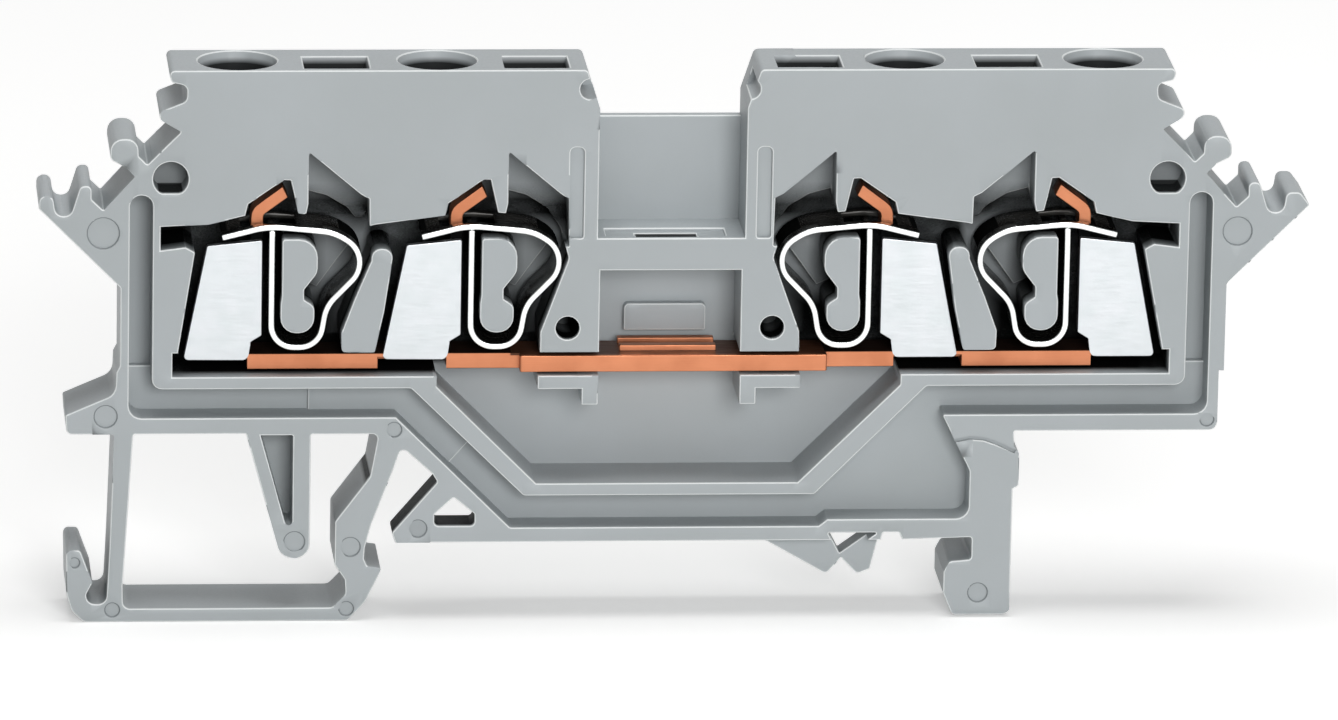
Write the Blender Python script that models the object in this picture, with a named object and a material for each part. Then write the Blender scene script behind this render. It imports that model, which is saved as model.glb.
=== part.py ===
# Rail-mounted terminal block with four tension-spring clamps on one current bar.
# Metres, +Z away from the rail, +X along the block, +Y towards its closed back.
# The origin lies on the rail's centre line, in the middle of the block's width,
# level with the faces that sit on the rail's flanges.

import math

import bmesh
import bpy
from mathutils import Matrix

MM = 0.001

# Block
WIDTH = 5.0
HEIGHT_TOP = 28.2
HEIGHT_ROOF = 24.4
SHELF_TOP = 18.2
CHAMBER_DEPTH = 4.34
BAR_WAY_DEPTH = 4.3
CENTRE_DEPTH = 4.32
BASIN_DEPTH = 4.26
CENTRE_X = -0.28
# Distances of the towers' inner faces from the centre line, above and below their step
TOWER_INNER = 5.0
POCKET_HALF = 4.25
TOWER_STEP = 2.3
LEG_DISTANCE = (23.0, 11.5)
ARC_STEP = 20.0
CUT_REACH = 1.3
FLAT_ANGLE = 0.001

# Recess depths, from the open front face
CHANNEL_DEPTH = 2.1
SIDE_GROOVE_DEPTH = 2.7
SHAFT_DEPTH = 3.15
SHAFT_WINDOW_DEPTH = 3.2
WEDGE_RECESS_DEPTH = 2.6
KEY_HOLE_DEPTH = 2.0
PIN_HOLE_DEPTH = 3.5
FLUTE_DEPTH = 0.3
DENT_DEPTH = 3.4
FOOT_GROOVE_DEPTH = 0.2
FOOT_GROOVE_WIDTH = 0.22
PAD_DEPTH = 3.7
LOOP_PAD_DEPTH = 3.3
EJECTOR_DEPTH = 0.12
TONGUE_SETBACK = 1.1
TONGUE_BACK = 2.6
WEB_BACK = 2.35

# Openings in the top
BORE_RADIUS = 1.65
FUNNEL_RADIUS = 2.3
FUNNEL_HEIGHT = 2.6
BORE_FROM_LEG = 2.0
BORE_BOTTOM = 18.9
SHAFT_FROM = 1.95
SHAFT_TO = 5.3
SHAFT_FRONT = 0.75
SHAFT_BOTTOM = 19.5
MOUTH_FLARE = 0.28
MOUTH_HEIGHT = 0.9

# Current bar
BAR_BOTTOM = 10.22
BAR_MIDDLE_BOTTOM = 10.14
BAR_TOP = 11.12
BAR_FRONT = 0.9
BAR_MIDDLE_FRONT = 0.3
BAR_BACK = 3.6
BAR_END = 27.5
BAR_MIDDLE = 8.9
CHEEK_THICKNESS = 0.6
CHEEK_FRONT = 0.85
RELIEF_DEPTH = 1.6
RISER_FRONT = 1.3
RISER_BACK = 2.9
RIDGE_HEIGHT = 0.34
RIDGE_WIDTH = 0.6
RIDGE_HALF_LENGTH = 2.8
RIDGE_FRONTS = (1.3, 2.9)
# The bar sits a little to the right in the housing
BAR_SHIFT = {-1: 0.0, 1: 0.25}

# Clamp spring
SPRING_THICKNESS = 0.34
SPRING_FRONT = 0.35
SPRING_BACK = 3.8
WINDOW_FRONT = 1.0
WINDOW_BACK = 3.2

PLASTIC = (0.40, 0.43, 0.44, 1.0)
COPPER = (0.80, 0.30, 0.13, 1.0)
TINNED = (0.78, 0.80, 0.82, 1.0)


def clear_scene():
    for old in list(bpy.data.objects):
        bpy.data.objects.remove(old, do_unlink=True)
    for old in list(bpy.data.collections):
        bpy.data.collections.remove(old)


def make_collection(name):
    group = bpy.data.collections.new(name)
    bpy.context.scene.collection.children.link(group)
    return group


def make_material(name, colour, roughness, metallic):
    material = bpy.data.materials.new(name)
    material.use_nodes = True
    shader = material.node_tree.nodes["Principled BSDF"]
    shader.inputs["Base Color"].default_value = colour
    shader.inputs["Roughness"].default_value = roughness
    shader.inputs["Metallic"].default_value = metallic
    return material


# Turns corners (x, z) or (x, z, radius) of a closed or open outline into points,
# each radius as a circular arc that is tangent to both sides of its corner.
def rounded(corners, closed=True):
    points = []
    count = len(corners)
    for index, corner in enumerate(corners):
        radius = corner[2] if len(corner) > 2 else 0.0
        x, z = corner[0], corner[1]
        end = not closed and index in (0, count - 1)
        if radius <= 0.0 or end:
            points.append((x, z))
            continue
        before = corners[index - 1]
        after = corners[(index + 1) % count]
        ax, az = before[0] - x, before[1] - z
        bx, bz = after[0] - x, after[1] - z
        a_length = math.hypot(ax, az)
        b_length = math.hypot(bx, bz)
        ax, az, bx, bz = ax / a_length, az / a_length, bx / b_length, bz / b_length
        inner = math.acos(max(-1.0, min(1.0, ax * bx + az * bz)))
        reach = radius / math.tan(inner / 2.0)
        reach = min(reach, 0.98 * a_length, 0.98 * b_length)
        radius = reach * math.tan(inner / 2.0)
        mx, mz = ax + bx, az + bz
        m_length = math.hypot(mx, mz)
        distance = radius / math.sin(inner / 2.0)
        cx = x + mx / m_length * distance
        cz = z + mz / m_length * distance
        start = math.atan2(z + az * reach - cz, x + ax * reach - cx)
        stop = math.atan2(z + bz * reach - cz, x + bx * reach - cx)
        sweep = (stop - start + math.pi) % (2.0 * math.pi) - math.pi
        steps = max(2, math.ceil(abs(math.degrees(sweep)) / ARC_STEP))
        for step in range(steps + 1):
            angle = start + sweep * step / steps
            points.append((cx + radius * math.cos(angle), cz + radius * math.sin(angle)))
    return points


def circle(x, z, radius, sides=24):
    turns = [2.0 * math.pi * (step + 0.5) / sides for step in range(sides)]
    return [(x + radius * math.cos(turn), z + radius * math.sin(turn)) for turn in turns]


def rectangle(x0, z0, x1, z1):
    return [(x0, z0), (x1, z0), (x1, z1), (x0, z1)]


# A point at a distance to the side of the block's centre line, side -1 or +1.
def aside(side, distance, z, *rest):
    return (CENTRE_X + side * distance, z, *rest)


def leg_x(side, distance):
    return CENTRE_X + side * distance


# A point of a clamp unit: u runs from the spring's fixed leg towards the centre.
def unit(side, distance, corners):
    return [(leg_x(side, distance) - side * corner[0], *corner[1:]) for corner in corners]


# Two parallel lines half a thickness to either side of a path, as one outline.
def strip(path, thickness):
    left = []
    right = []
    for index, (x, z) in enumerate(path):
        before = path[max(index - 1, 0)]
        after = path[min(index + 1, len(path) - 1)]
        dx, dz = after[0] - before[0], after[1] - before[1]
        length = math.hypot(dx, dz)
        nx, nz = -dz / length, dx / length
        left.append((x + nx * thickness / 2.0, z + nz * thickness / 2.0))
        right.append((x - nx * thickness / 2.0, z - nz * thickness / 2.0))
    return left + right[::-1]


# A flat outline with holes, as thick as the gap between two values of y or z.
# Depths are in millimetres behind the open front face.
def plate(name, loops, front, back, group, material=None, upright=True):
    curve = bpy.data.curves.new(name, "CURVE")
    curve.dimensions = "2D"
    curve.fill_mode = "BOTH"
    curve.extrude = (back - front) / 2.0 * MM
    for loop in loops:
        spline = curve.splines.new("POLY")
        spline.points.add(len(loop) - 1)
        for point, (across, up) in zip(spline.points, loop):
            point.co = (across * MM, up * MM, 0.0, 1.0)
        spline.use_cyclic_u = True
    holder = bpy.data.objects.new(name + "_outline", curve)
    group.objects.link(holder)
    if upright:
        holder.rotation_euler = (math.radians(90.0), 0.0, 0.0)
        holder.location = (0.0, ((front + back) / 2.0 - WIDTH / 2.0) * MM, 0.0)
    else:
        holder.location = (0.0, 0.0, (front + back) / 2.0 * MM)
    bpy.context.view_layer.update()
    graph = bpy.context.evaluated_depsgraph_get()
    mesh = bpy.data.meshes.new_from_object(holder.evaluated_get(graph))
    mesh.transform(holder.matrix_world)
    bpy.data.objects.remove(holder, do_unlink=True)
    shape = bmesh.new()
    shape.from_mesh(mesh)
    bmesh.ops.remove_doubles(shape, verts=shape.verts, dist=0.000001)
    merge_flat(shape)
    bmesh.ops.recalc_face_normals(shape, faces=shape.faces)
    shape.to_mesh(mesh)
    shape.free()
    mesh.name = name
    return place(name, mesh, group, material)


# Joins the triangles of each flat cap, so that none of them is a sliver.
def merge_flat(shape):
    bmesh.ops.dissolve_limit(
        shape,
        angle_limit=FLAT_ANGLE,
        verts=shape.verts,
        edges=shape.edges,
    )


def place(name, mesh, group, material=None):
    thing = bpy.data.objects.new(name, mesh)
    group.objects.link(thing)
    mesh.materials.clear()
    if material is not None:
        mesh.materials.append(material)
    return thing


def box(name, low, high, group):
    shape = bmesh.new()
    size = [(b - a) * MM for a, b in zip(low, high)]
    middle = [(a + b) / 2.0 * MM for a, b in zip(low, high)]
    bmesh.ops.create_cube(shape, size=1.0)
    bmesh.ops.transform(shape, matrix=Matrix.Diagonal((*size, 1.0)), verts=shape.verts)
    bmesh.ops.translate(shape, vec=middle, verts=shape.verts)
    mesh = bpy.data.meshes.new(name)
    shape.to_mesh(mesh)
    shape.free()
    return place(name, mesh, group)


# A truncated cone about a vertical axis through (x, y).
def cone(name, x, y, z0, z1, radius0, radius1, group, sides=32):
    shape = bmesh.new()
    bmesh.ops.create_cone(
        shape,
        cap_ends=True,
        segments=sides,
        radius1=radius0 * MM,
        radius2=radius1 * MM,
        depth=(z1 - z0) * MM,
    )
    bmesh.ops.translate(shape, vec=(x * MM, y * MM, (z0 + z1) / 2.0 * MM), verts=shape.verts)
    mesh = bpy.data.meshes.new(name)
    shape.to_mesh(mesh)
    shape.free()
    return place(name, mesh, group)


def combine(target, tool, operation):
    tool.hide_render = True
    tool.display_type = "WIRE"
    change = target.modifiers.new(tool.name, "BOOLEAN")
    change.operation = operation
    change.solver = "EXACT"
    change.object = tool


def cut(target, *tools):
    for tool in tools:
        combine(target, tool, "DIFFERENCE")


def add(target, *tools):
    for tool in tools:
        combine(target, tool, "UNION")


def depth_y(depth):
    return depth - WIDTH / 2.0


# Outline of the marker hooks and the tower beside them, out from the centre line.
HOOKS = [
    (29.1, HEIGHT_TOP, 0.3),
    (28.85, 27.5, 0.25),
    (27.95, 27.3, 0.4),
    (28.0, 26.4, 0.4),
    (29.75, 25.7, 0.35),
    (29.4, 25.25, 0.12),
    (28.3, 24.6, 0.08),
    (30.22, 22.65, 0.1),
    (30.72, 23.15, 0.15),
    (30.75, 24.2, 0.68),
    (32.35, 24.15, 0.72),
    (32.35, 22.95, 0.4),
    (31.45, 22.5, 0.12),
    (30.92, 21.95, 0.08),
    (32.72, 19.95, 0.1),
    (33.4, 20.6, 0.15),
    (33.4, 21.4, 0.3),
    (34.05, 21.4, 0.34),
    (34.6, 19.62, 0.5),
    (35.45, 19.62, 0.5),
    (35.62, 20.8, 0.36),
    (36.4, 20.8, 0.36),
]

# Outer wall, rail foot and base, anticlockwise from the left marker hooks.
LEFT_FOOT = [
    (-36.7, 20.05, 0.1),
    (-32.0, 15.35, 0.1),
    (-32.0, 10.7),
    (-32.2, 10.3),
    (-32.25, 9.0, 0.8),
    (-35.12, 7.76, 0.15),
    (-35.05, 6.6, 0.35),
    (-32.3, 6.6, 0.1),
    (-32.55, -0.6),
    (-32.67, -3.0),
    (-32.72, -3.6, 0.5),
    (-33.85, -3.6, 0.5),
    (-33.85, -3.0, 0.3),
    (-33.5, -2.3, 0.15),
    (-34.22, -0.35, 0.25),
    (-35.05, -0.35, 0.35),
    (-35.0, -3.0, 0.8),
    (-34.7, -4.0, 0.8),
    (-34.0, -4.68, 0.6),
    (-18.7, -4.68, 0.4),
    (-17.7, -3.55, 1.5),
    (-16.9, -1.9, 0.6),
    (-16.8, -1.5, 0.1),
    (-17.62, -1.38, 0.12),
    (-17.8, -0.95, 0.1),
    (-17.75, -0.25, 0.1),
    (-17.4, 1.1),
    (-16.2, 4.3),
    (-15.75, 5.62, 0.25),
    (-15.4, 5.5, 0.2),
    (-13.9, 4.15, 0.1),
    (-13.6, 3.65, 0.15),
    (-16.2, 0.6, 0.2),
    (-16.0, 0.0, 0.05),
]

BASE = [
    (5.1, 0.0),
    (9.2, -2.35, 0.3),
    (10.05, -1.36, 0.06),
    (11.0, -2.35, 0.3),
    (11.75, -2.05, 0.15),
    (12.35, 0.47, 0.1),
    (13.3, 0.47, 0.1),
    (13.5, 0.02, 0.05),
]

RIGHT_FOOT = [
    (17.55, 0.15, 0.15),
    (17.55, -1.2, 0.2),
    (16.3, -1.3, 0.3),
    (15.95, -1.95, 0.2),
    (15.95, -3.2, 0.3),
    (16.5, -4.55, 0.3),
    (19.87, -4.55, 0.5),
    (19.87, 3.05),
    (20.2, 3.25, 0.1),
    (20.2, 5.2, 0.3),
    (19.87, 5.6),
    (19.87, 6.55, 0.1),
    (31.7, 6.55, 0.45),
    (31.7, 10.15),
    (32.0, 10.15),
    (32.0, 15.35, 0.1),
    (36.7, 20.05, 0.1),
]

# The through opening of the left foot, around the wedge-shaped stop.
FRAME_OPENING = [
    (-31.2, 6.6, 0.12),
    (-31.75, -2.5),
    (-31.72, -3.88, 0.4),
    (-19.6, -3.88, 0.5),
    (-18.85, -3.1, 0.4),
    (-18.9, -2.2, 0.2),
    (-19.5, -1.3, 0.2),
    (-19.5, 1.3, 0.3),
    (-17.5, 4.0, 0.4),
    (-17.05, 6.55, 0.3),
    (-20.95, 6.55, 0.1),
    (-20.95, -0.9, 0.85),
    (-22.6, -0.9, 0.85),
    (-24.7, 6.6, 0.1),
]

WINDOW_OPENING = [
    (-12.65, 2.72, 0.12),
    (-11.42, 1.72, 0.1),
    (-11.42, 1.0, 0.25),
    (-13.75, 1.0, 0.25),
    (-13.75, 1.72, 0.1),
]

TONGUE_OPENING = [
    (9.15, 0.46, 0.05),
    (12.05, 0.46, 0.05),
    (9.95, -1.07, 0.05),
]

# The web beside the latch arm is a thin plate, so this is taken away behind it.
WEB_RELIEF = [
    (-17.0, -0.6),
    (-9.2, -0.6),
    (-9.2, 0.45),
    (-10.1, 0.45, 0.2),
    (-14.0, 4.35),
]

# The weight-saving channel that follows the outline from one side to the other.
CHANNEL = [
    (-31.48, 20.83, 0.64),
    (-30.16, 20.83, 0.64),
    (-30.16, 9.28, 0.6),
    (-15.2, 9.28, 0.3),
    (-8.6, 2.8, 0.3),
    (8.3, 2.8, 0.3),
    (14.7, 9.28, 0.3),
    (29.75, 9.28, 0.6),
    (29.75, 20.83, 0.64),
    (31.06, 20.83, 0.64),
    (31.06, 7.55, 0.75),
    (15.65, 7.55, 0.1),
    (17.33, 4.15, 0.3),
    (17.33, 1.28, 0.75),
    (9.1, 1.28, 0.1),
    (8.6, 0.88, 0.1),
    (-9.35, 0.88, 0.2),
    (-16.05, 7.55, 0.2),
    (-31.48, 7.55, 0.75),
]

# The two strips of the channel floor that stand a little higher than the rest.
CHANNEL_STEP = [
    (-21.05, 9.4),
    (-15.1, 9.4),
    (-11.5, 5.8),
    (-12.85, 4.25),
    (-16.1, 7.42),
    (-21.05, 7.42),
]

# One clamp chamber's roof: the hook's notch, the tooth and the spring's shoulder.
ROOF = [
    (-1.58, 19.6, 0.05),
    (-1.42, 20.3, 0.1),
    (0.62, 21.72, 0.05),
    (1.02, 21.7, 0.05),
    (1.46, 19.75, 0.12),
    (1.92, 19.7, 0.08),
    (2.04, 20.3),
    (3.3, 19.95, 0.8),
    (4.5, 19.2, 0.8),
    (5.3, 18.0, 0.8),
]

ISLAND = [
    (0.57, 18.2, 0.2),
    (2.62, 18.2, 1.1),
    (2.62, 16.2, 0.8),
    (1.85, 15.2, 0.12),
    (1.85, 14.6, 0.12),
    (2.45, 14.2, 0.45),
    (2.45, 12.6, 0.9),
    (0.5, 12.6, 0.9),
    (0.5, 14.35, 0.3),
    (0.57, 14.8, 0.1),
]

LOOP_PAD = [
    (1.2, 17.9),
    (4.3, 17.45),
    (4.55, 17.0),
    (2.75, 14.5),
    (1.2, 15.2),
]

SHAFT_WINDOW = [
    (2.04, 23.4, 0.08),
    (3.56, 22.1),
    (5.08, 20.83, 0.2),
    (5.54, 20.6, 0.1),
    (5.6, 17.7, 0.1),
    (3.4, 17.7),
    (2.04, 19.0),
]

RIB = [
    (17.3, 17.62, 0.55),
    (16.0, 17.62, 0.55),
    (16.25, 15.8),
    (16.52, 13.9),
    (17.05, 11.45, 0.15),
    (18.95, 11.45, 0.25),
    (18.98, 12.6, 0.3),
    (18.25, 14.6),
    (17.3, 16.9),
]

# The riser below the hook hides behind the cheek.
HOOK = [
    (-1.72, 10.7),
    (-1.72, 12.3),
    (-1.35, 12.9),
    (-1.35, 17.6),
    (-1.18, 17.95),
    (-1.18, 19.65, 0.85),
    (0.62, 21.0, 0.06),
    (0.93, 20.36, 0.06),
    (-0.48, 19.32, 0.3),
    (-0.48, 17.95),
    (-0.75, 17.6),
    (-0.75, 12.5),
    (-1.4, 11.85),
    (-1.42, 10.7),
]

CHEEK = [
    (-3.72, 17.6, 0.15),
    (-0.53, 17.92, 0.1),
    (-0.53, 12.25, 0.12),
    (-1.17, 11.85, 0.15),
    (-1.32, 10.78, 0.42),
    (-5.06, 10.78, 0.25),
]

# What the bar lacks under each cheek, all through and in front
CHEEK_RELIEF = [
    (-5.3, 10.6),
    (-1.34, 10.6),
    (-1.34, 10.0),
    (-5.3, 10.0),
]

CHEEK_SHOULDER = [
    (-5.3, 10.9),
    (-1.34, 10.9),
    (-1.34, 10.0),
    (-5.3, 10.0),
]

SPRING_PATH = [
    (-2.88, 18.2),
    (-0.25, 18.86, 5.0),
    (3.55, 18.5, 2.9),
    (5.95, 17.0, 1.55),
    (3.15, 14.1, 2.2),
    (2.75, 11.66, 1.3),
    (0.0, 11.66, 1.3),
    (0.0, 18.45),
]

# The opening in the spring's arm that the riser and the wire pass through.
WIRE_WINDOW = [
    (-1.75, 17.95),
    (-0.6, 18.46),
    (1.4, 18.46),
    (1.4, 19.6),
    (-1.75, 19.6),
]

# Middle line of the shallow groove across the top of the right foot
FOOT_GROOVE = [
    (16.45, 5.98),
    (17.7, 6.4, 3.0),
    (19.95, 5.3),
]

EJECTOR_MARKS = [
    (-33.0, 18.6, 0.9),
    (32.55, 18.5, 0.82),
    (-32.8, 7.67, 0.64),
    (-21.85, 0.1, 0.58),
    (-16.15, 6.8, 0.42),
    (-14.7, 0.85, 0.5),
    (-18.6, -0.23, 0.55),
    (-18.8, -3.95, 0.4),
    (-32.35, -3.95, 0.4),
    (-34.55, -1.1, 0.28),
    (17.97, -3.2, 0.55),
    (31.1, 7.2, 0.38),
]


def silhouette():
    left = [aside(-1, *corner) for corner in HOOKS]
    right = [aside(1, *corner) for corner in reversed(HOOKS)]
    towers = [
        aside(1, TOWER_INNER, HEIGHT_TOP, 0.3),
        aside(1, POCKET_HALF, HEIGHT_TOP - TOWER_STEP, 0.3),
        aside(1, POCKET_HALF, HEIGHT_ROOF),
        aside(-1, POCKET_HALF, HEIGHT_ROOF),
        aside(-1, POCKET_HALF, HEIGHT_TOP - TOWER_STEP, 0.3),
        aside(-1, TOWER_INNER, HEIGHT_TOP, 0.3),
    ]
    return rounded(left + LEFT_FOOT + BASE + RIGHT_FOOT + right + towers)


def chamber(side):
    corners = [(29.43, 18.96), (26.7, 19.1)]
    for distance in LEG_DISTANCE:
        corners += [(distance - u, *rest) for u, *rest in ROOF]
        if distance == LEG_DISTANCE[0]:
            corners += [(17.5, 18.95), (17.1, 19.05)]
    corners += [
        (5.91, 17.0, 0.5),
        (7.5, 12.6, 0.3),
        (7.5, 10.7),
        (28.3 + BAR_SHIFT[side], 10.7),
        (28.38 + BAR_SHIFT[side], 11.5, 0.1),
        (27.45, 17.45, 0.15),
        (28.0, 17.75, 0.1),
        (29.43, 17.56),
    ]
    outline = rounded([aside(side, *corner) for corner in corners])
    islands = [rounded(unit(side, distance, ISLAND)) for distance in LEG_DISTANCE]
    rib = rounded([aside(side, *corner) for corner in RIB])
    return [outline, *islands, rib]


def basin():
    clip = [(7.6, 10.7), (7.6, 9.2), (5.05, 9.2), (5.05, 8.25), (4.1, 8.25), (4.1, 10.7)]
    left = [(13.45, 10.7), *clip]
    right = [(distance, z) for distance, z in reversed(left)]
    corners = [aside(-1, *corner) for corner in left]
    corners += [aside(1, *corner) for corner in right]
    corners += [aside(1, 13.45, 9.38, 0.2), aside(1, 7.6, 3.53)]
    corners += [aside(-1, 7.6, 3.53), aside(-1, 13.45, 9.38, 0.2)]
    return rounded(corners)


def key_hole(x, z):
    points = circle(x, z, 1.02, 32)
    return [(across, max(up, z - 0.85)) for across, up in points]


def build_housing(parts, cutters, plastic):
    housing = plate("housing", [silhouette()], 0.0, WIDTH, parts, plastic)
    front = -1.0

    def recess(name, loops, depth):
        cut(housing, plate(name, loops, front, depth, cutters))

    # Openings right through the block
    openings = [rounded(FRAME_OPENING), rounded(WINDOW_OPENING), rounded(TONGUE_OPENING)]
    recess("openings", openings, WIDTH + 1.0)

    # Wire funnels and tool shafts, from the top
    units = [(side, distance) for side in (-1, 1) for distance in LEG_DISTANCE]
    middle = depth_y(WIDTH / 2.0)
    above = HEIGHT_TOP + CUT_REACH
    for number, (side, distance) in enumerate(units, 1):
        x = leg_x(side, distance) + side * BORE_FROM_LEG
        cut(
            housing,
            cone(f"bore_{number}", x, middle, BORE_BOTTOM, above, BORE_RADIUS, BORE_RADIUS, cutters),
            cone(
                f"funnel_{number}",
                x,
                middle,
                HEIGHT_TOP - FUNNEL_HEIGHT,
                HEIGHT_TOP + 0.4,
                BORE_RADIUS,
                FUNNEL_RADIUS + (FUNNEL_RADIUS - BORE_RADIUS) * 0.4 / FUNNEL_HEIGHT,
                cutters,
            ),
        )
    shafts = []
    mouths = []
    for side, distance in units:
        first = leg_x(side, distance) - side * SHAFT_FROM
        last = leg_x(side, distance) - side * SHAFT_TO
        low, high = min(first, last), max(first, last)
        shafts.append(rectangle(low, depth_y(SHAFT_FRONT), high, depth_y(SHAFT_DEPTH)))
        mouths.append((low, high))
    cut(housing, plate("tool_shafts", shafts, SHAFT_BOTTOM, above, cutters, upright=False))
    for number, (low, high) in enumerate(mouths, 1):
        mouth = box(
            f"mouth_{number}",
            (low - MOUTH_FLARE, depth_y(SHAFT_FRONT - MOUTH_FLARE), HEIGHT_TOP - MOUTH_HEIGHT),
            (high + MOUTH_FLARE, depth_y(SHAFT_DEPTH + MOUTH_FLARE), HEIGHT_TOP + 0.3),
            cutters,
        )
        taper(mouth, MOUTH_FLARE * 0.98)
        cut(housing, mouth)

    # Pockets from the open front
    recess("chamber_left", chamber(-1), CHAMBER_DEPTH)
    recess("chamber_right", chamber(1), CHAMBER_DEPTH)
    bar_way = rectangle(CENTRE_X - 28.7, 10.0, CENTRE_X + 29.05, 11.42)
    recess("bar_way", [bar_way], BAR_WAY_DEPTH)
    upper = rectangle(CENTRE_X - POCKET_HALF, SHELF_TOP, CENTRE_X + POCKET_HALF, above)
    lower = rectangle(CENTRE_X - 4.08, 11.2, CENTRE_X + 4.08, 16.28)
    pad = rounded([(-2.65, 11.7, 0.1), (2.1, 11.7, 0.1), (2.1, 13.3, 0.3), (-2.65, 13.3, 0.3)])
    recess("centre_upper", [upper], CENTRE_DEPTH)
    recess("centre_lower", [lower, pad], CENTRE_DEPTH)
    recess("centre_pad", [rectangle(-2.75, 11.6, 2.2, 13.4)], PAD_DEPTH)
    recess("basin", [basin()], BASIN_DEPTH)
    recess("channel", [rounded(CHANNEL)], CHANNEL_DEPTH)
    side_grooves = [
        rounded([(-31.48, 20.83, 0.64), (-30.16, 20.83, 0.64), (-30.16, 10.15), (-31.48, 10.15)]),
        rounded([(29.75, 20.83, 0.64), (31.06, 20.83, 0.64), (31.06, 10.15), (29.75, 10.15)]),
    ]
    recess("side_grooves", side_grooves, SIDE_GROOVE_DEPTH)
    recess("shaft_windows", [rounded(unit(*place_, SHAFT_WINDOW)) for place_ in units], SHAFT_WINDOW_DEPTH)
    wedge = rounded([(-23.85, 6.5), (-21.98, 6.5, 0.1), (-21.98, 1.1, 0.2), (-22.35, 1.1, 0.2)])
    recess("wedge_recess", [wedge], WEDGE_RECESS_DEPTH)
    recess("key_holes", [key_hole(-29.15, 21.8), key_hole(28.4, 21.65)], KEY_HOLE_DEPTH)
    recess("pin_holes", [circle(-6.2, 12.84, 0.69), circle(5.64, 12.84, 0.69)], PIN_HOLE_DEPTH)
    flutes = [
        rounded([(-6.2, 18.2, 0.15), (-5.38, 18.2, 0.15), (-5.38, 23.6, 0.3), (-6.2, 23.6, 0.3)]),
        rounded([(4.64, 18.2, 0.15), (5.46, 18.2, 0.15), (5.46, 23.6, 0.3), (4.64, 23.6, 0.3)]),
    ]
    recess("flutes", flutes, FLUTE_DEPTH)
    recess("tower_dents", [circle(-5.1, 27.05, 0.6), circle(4.1, 27.05, 0.6)], DENT_DEPTH)
    recess("ejector_marks", [circle(*mark, 20) for mark in EJECTOR_MARKS], EJECTOR_DEPTH)
    foot_groove = strip(rounded(FOOT_GROOVE, closed=False), FOOT_GROOVE_WIDTH)
    recess("foot_groove", [foot_groove], FOOT_GROOVE_DEPTH)
    tongue = rectangle(4.9, -3.0, 12.9, 0.02)
    recess("tongue_front", [tongue], TONGUE_SETBACK)

    # The tongue and the web are thin plates, open at the back
    behind = WIDTH + 1.0
    cut(housing, plate("tongue_back", [tongue], TONGUE_BACK, behind, cutters))
    cut(housing, plate("web_relief", [rounded(WEB_RELIEF)], WEB_BACK, behind, cutters))

    # The shelf's label groove and the seats beside it
    groove = rectangle(-2.3, depth_y(0.35), 1.25, depth_y(1.8))
    seats = rectangle(-4.0, depth_y(0.6), 2.9, depth_y(2.3))
    cut(housing, plate("label_groove", [groove], 17.2, 19.0, cutters, upright=False))
    cut(housing, plate("label_seats", [seats], 18.02, 19.0, cutters, upright=False))

    # Raised floor of each spring's loop, and the strips of the channel floor
    loops = [rounded(unit(*place_, LOOP_PAD)) for place_ in units]
    add(housing, plate("loop_pads", loops, LOOP_PAD_DEPTH, 4.5, cutters))
    add(housing, plate("channel_steps", [CHANNEL_STEP], 1.85, 2.4, cutters))
    flatten(housing)
    return housing


# Joins the coplanar faces that the cuts leave.
def flatten(thing):
    change = thing.modifiers.new("flatten", "DECIMATE")
    change.decimate_type = "DISSOLVE"
    change.angle_limit = FLAT_ANGLE


# Draws in the lower four corners of a box by the same amount on each side.
def taper(thing, amount):
    mesh = thing.data
    low = min(vertex.co.z for vertex in mesh.vertices)
    xs = [vertex.co.x for vertex in mesh.vertices]
    ys = [vertex.co.y for vertex in mesh.vertices]
    middle_x = (min(xs) + max(xs)) / 2.0
    middle_y = (min(ys) + max(ys)) / 2.0
    for vertex in mesh.vertices:
        if vertex.co.z < low + 0.00001:
            vertex.co.x -= math.copysign(amount * MM, vertex.co.x - middle_x)
            vertex.co.y -= math.copysign(amount * MM, vertex.co.y - middle_y)


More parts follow.
